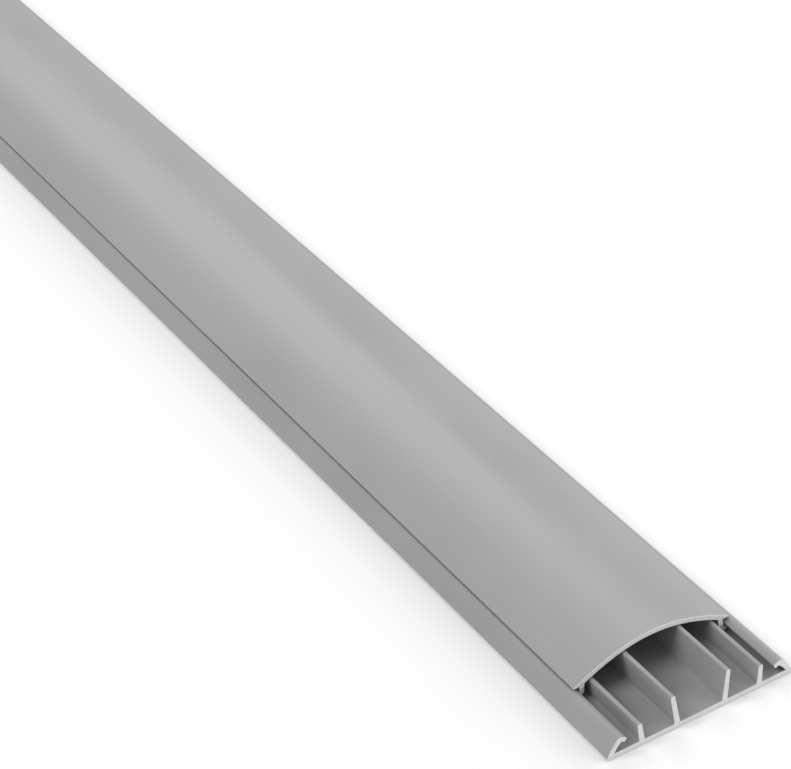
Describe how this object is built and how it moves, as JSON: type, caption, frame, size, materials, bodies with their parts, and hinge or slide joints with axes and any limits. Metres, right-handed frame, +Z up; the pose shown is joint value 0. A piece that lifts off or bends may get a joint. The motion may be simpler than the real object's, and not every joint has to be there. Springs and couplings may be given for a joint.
{
  "type": "floor cord cover",
  "caption": "Low floor trunking for cords: a ribbed base strip with hooked wings and a shallow arched cover strip that clips on and slides along it.",
  "frame": {"origin": "centre of the base's underside, halfway along the base", "axes": "+Z up from the floor; +Y along the strips, away from the end where the cover is set back; +X across"},
  "size_m": [0.075, 2.0276, 0.018],
  "materials": {
    "base_pvc": "satin, fine lines from extrusion, sawn ends",
    "cover_pvc": "satin, smooth, sawn ends"
  },
  "bodies": {
    "base": {"base": "base_pvc"},
    "cover": {"cover": "cover_pvc"}
  },
  "joints": [
    {"name": "cover_slide", "type": "slide", "parent": "base", "child": "cover", "axis": [0, 1, 0], "range_m": [-0.0276, 1.97]}
  ]
}
